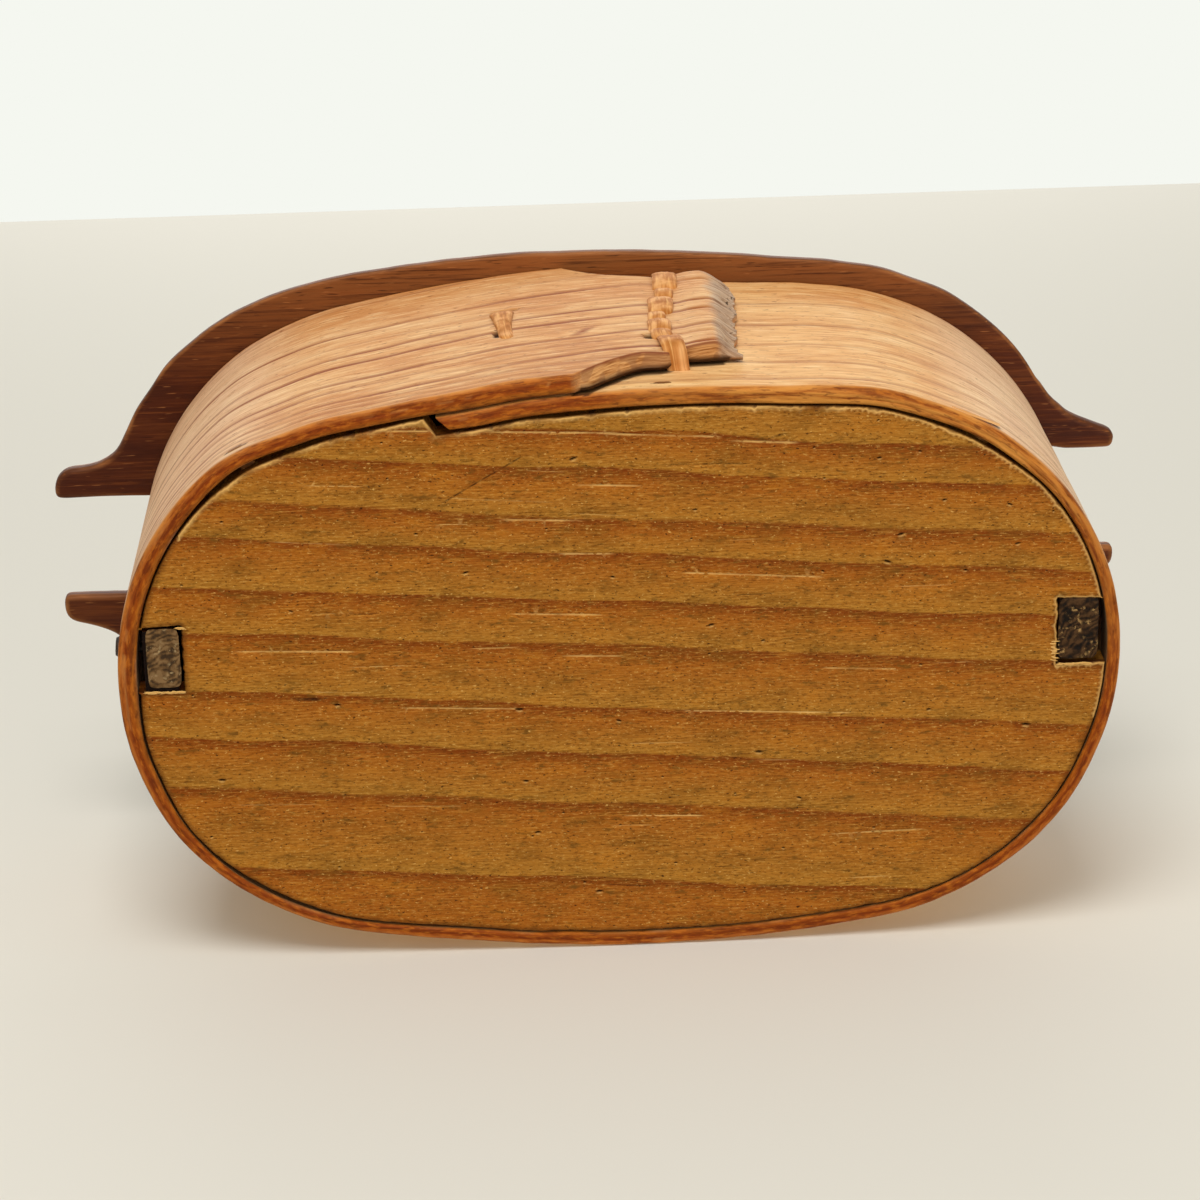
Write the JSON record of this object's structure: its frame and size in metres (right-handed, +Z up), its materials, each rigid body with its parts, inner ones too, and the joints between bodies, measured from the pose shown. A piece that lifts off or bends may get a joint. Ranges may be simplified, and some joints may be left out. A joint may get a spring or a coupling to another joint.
{
  "type": "bentwood box",
  "caption": "Oval bentwood box with a root-sewn lap seam, a pegged bottom board and a lid held between springy end posts.",
  "frame": {"origin": "centre of the band's underside, where the bottom board meets the surface the box stands on", "axes": "+Z up, towards the lid; X along the box's length; the sewn seam is on the -Y side"},
  "size_m": [0.2307, 0.1328, 0.101],
  "materials": {
    "band_wood": "worn bare softwood",
    "board_pine": "oiled, scratched pine",
    "lid_wood": "dark stained, worn",
    "post_wood": "dark, rough end grain",
    "peg_wood": "dark split wood",
    "split_root": "smooth split root",
    "nail_iron": "dark forged iron"
  },
  "bodies": {
    "box": {"band": "band_wood", "bottom": "board_pine", "post_nails": "nail_iron", "bottom_pegs": "peg_wood", "root_lacing": "split_root", "root_tack": "split_root"},
    "lid": {"lid": "lid_wood", "handle": "lid_wood", "handle_pegs": "peg_wood"},
    "left_post": {"left_post": "post_wood"},
    "right_post": {"right_post": "post_wood"}
  },
  "joints": [
    {"name": "lid_lift", "type": "slide", "parent": "box", "child": "lid", "axis": [0, 0, 1], "range_m": [0, 0.06]},
    {"name": "left_post_flex", "type": "hinge", "parent": "box", "child": "left_post", "pos_m": [-0.092, -0.0045, 0.009], "axis": [0, -1, 0], "range_deg": [-1.8, 1], "stiffness_Nm_per_rad": 5},
    {"name": "right_post_flex", "type": "hinge", "parent": "box", "child": "right_post", "pos_m": [0.092, -0.0045, 0.009], "axis": [0, 1, 0], "range_deg": [-1.8, 1], "stiffness_Nm_per_rad": 5}
  ]
}
